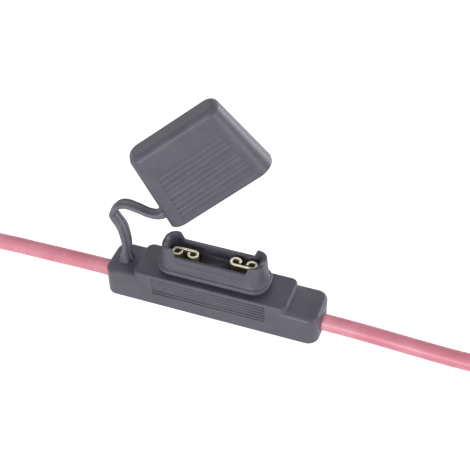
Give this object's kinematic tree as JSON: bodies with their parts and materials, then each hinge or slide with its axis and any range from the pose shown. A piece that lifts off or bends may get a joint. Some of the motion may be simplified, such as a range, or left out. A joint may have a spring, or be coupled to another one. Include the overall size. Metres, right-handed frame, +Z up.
{
  "type": "inline fuse holder",
  "caption": "Inline holder for one large blade fuse, with a hood on a flexible tether and a thick lead out of each end.",
  "frame": {"origin": "centre of the housing's underside", "axes": "+X along the housing from the tether's end to the plain end, +Z up out of the socket, -Y towards the viewer"},
  "size_m": [0.2991, 0.0364, 0.0747],
  "materials": {
    "moulding": "satin, moulded",
    "tether": "satin, moulded",
    "contact": "rolled sheet",
    "insulation": "satin, extruded",
    "copper": "cut strands"
  },
  "bodies": {
    "housing": {"holder_body": "moulding", "terminal_left": "contact", "terminal_right": "contact", "lead_left": "insulation", "lead_right": "insulation", "conductor_left": "copper", "conductor_right": "copper"},
    "tether_foot": {"strap_lower": "tether"},
    "tether_fold": {"strap_upper": "tether"},
    "hood": {"cap": "moulding"}
  },
  "joints": [
    {"name": "tether_bend", "type": "hinge", "parent": "tether_foot", "child": "tether_fold", "pos_m": [-0.037, 0.00929, 0.02122], "axis": [0, 0.7302, -0.6833], "range_deg": [0, 44], "stiffness_Nm_per_rad": 0.06, "deforming": ["strap_upper"]},
    {"name": "foot_twist", "type": "hinge", "parent": "housing", "child": "tether_foot", "pos_m": [0, 0.0048, 0.0094], "axis": [1, 0, 0], "range_deg": [0, 43.12], "deforming": ["strap_lower"]},
    {"name": "hood_twist", "type": "hinge", "parent": "tether_fold", "child": "hood", "pos_m": [0.00358, 0.02004, 0.02656], "axis": [0.7193, 0.4746, 0.5072], "range_deg": [-42.82, 0]}
  ],
  "couplings": [
    {"joint": "foot_twist", "follows": "tether_bend", "ratio": 0.97954},
    {"joint": "hood_twist", "follows": "tether_bend", "ratio": -0.97273}
  ]
}
